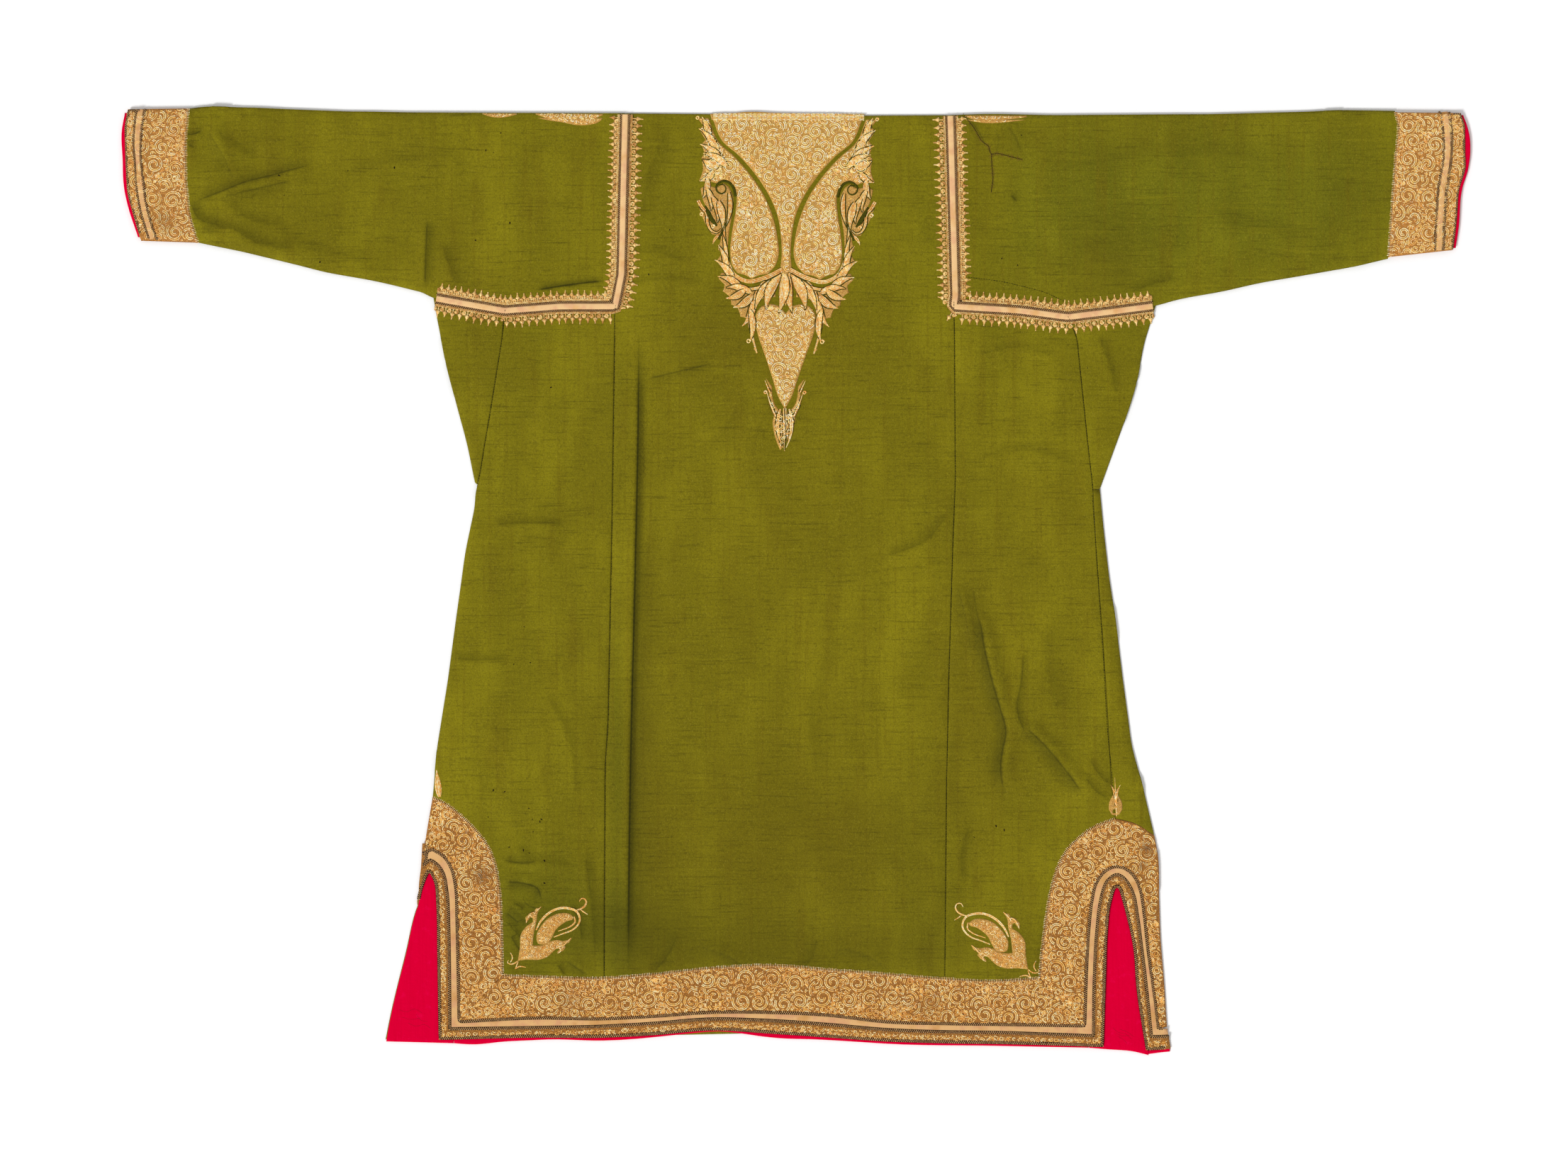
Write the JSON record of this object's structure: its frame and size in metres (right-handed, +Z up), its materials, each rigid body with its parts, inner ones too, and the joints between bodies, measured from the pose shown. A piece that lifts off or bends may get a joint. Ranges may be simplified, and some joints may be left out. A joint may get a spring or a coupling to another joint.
{
  "type": "choga robe",
  "caption": "Long open-fronted choga robe laid flat, back up, with embroidered borders, cuffs and nape motif.",
  "frame": {"origin": "under the middle of the robe's plan, on the floor", "axes": "+X towards the right-hand cuff as laid, +Y towards the shoulder fold, +Z up from the floor"},
  "size_m": [1.795, 1.2649, 0.0094],
  "materials": {
    "green_cloth": "fine olive-green twill, soft sheen",
    "gold_work": "couched gilt thread, broken glitter",
    "woven_tape": "plain ribbed tape",
    "silk_lining": "crimson-pink silk"
  },
  "bodies": {
    "root": {"armhole_braid_left": "gold_work", "armhole_braid_right": "gold_work", "back_centre": "green_cloth", "back_side_left": "green_cloth", "back_side_right": "green_cloth", "border_edging": "gold_work", "border_tape": "woven_tape", "cuff_left": "gold_work", "cuff_lining_left": "silk_lining", "cuff_lining_right": "silk_lining", "cuff_right": "gold_work", "epaulette_left": "gold_work", "epaulette_right": "gold_work", "front_centre_left": "green_cloth", "front_centre_right": "green_cloth", "front_side_left": "green_cloth", "front_side_right": "green_cloth", "front_turnover_right": "green_cloth", "hem_border": "gold_work", "hem_facing": "silk_lining", "leaf_bud_right": "gold_work", "neck_boteh_left": "gold_work", "neck_boteh_right": "gold_work", "neck_field": "gold_work", "neck_finial": "gold_work", "neck_heart": "gold_work", "neck_leaves_left": "gold_work", "neck_leaves_right": "gold_work", "neck_scroll_left": "gold_work", "neck_scroll_right": "gold_work", "paisley_bud_left": "gold_work", "paisley_bud_right": "gold_work", "paisley_leaf_left": "gold_work", "paisley_leaf_right": "gold_work", "sleeve_left": "green_cloth", "sleeve_right": "green_cloth", "underarm_gore_left": "green_cloth", "underarm_gore_right": "green_cloth", "vent_border_left": "gold_work", "vent_border_right": "gold_work", "vent_facing_left": "silk_lining", "vent_facing_right": "silk_lining"}
  },
  "joints": []
}
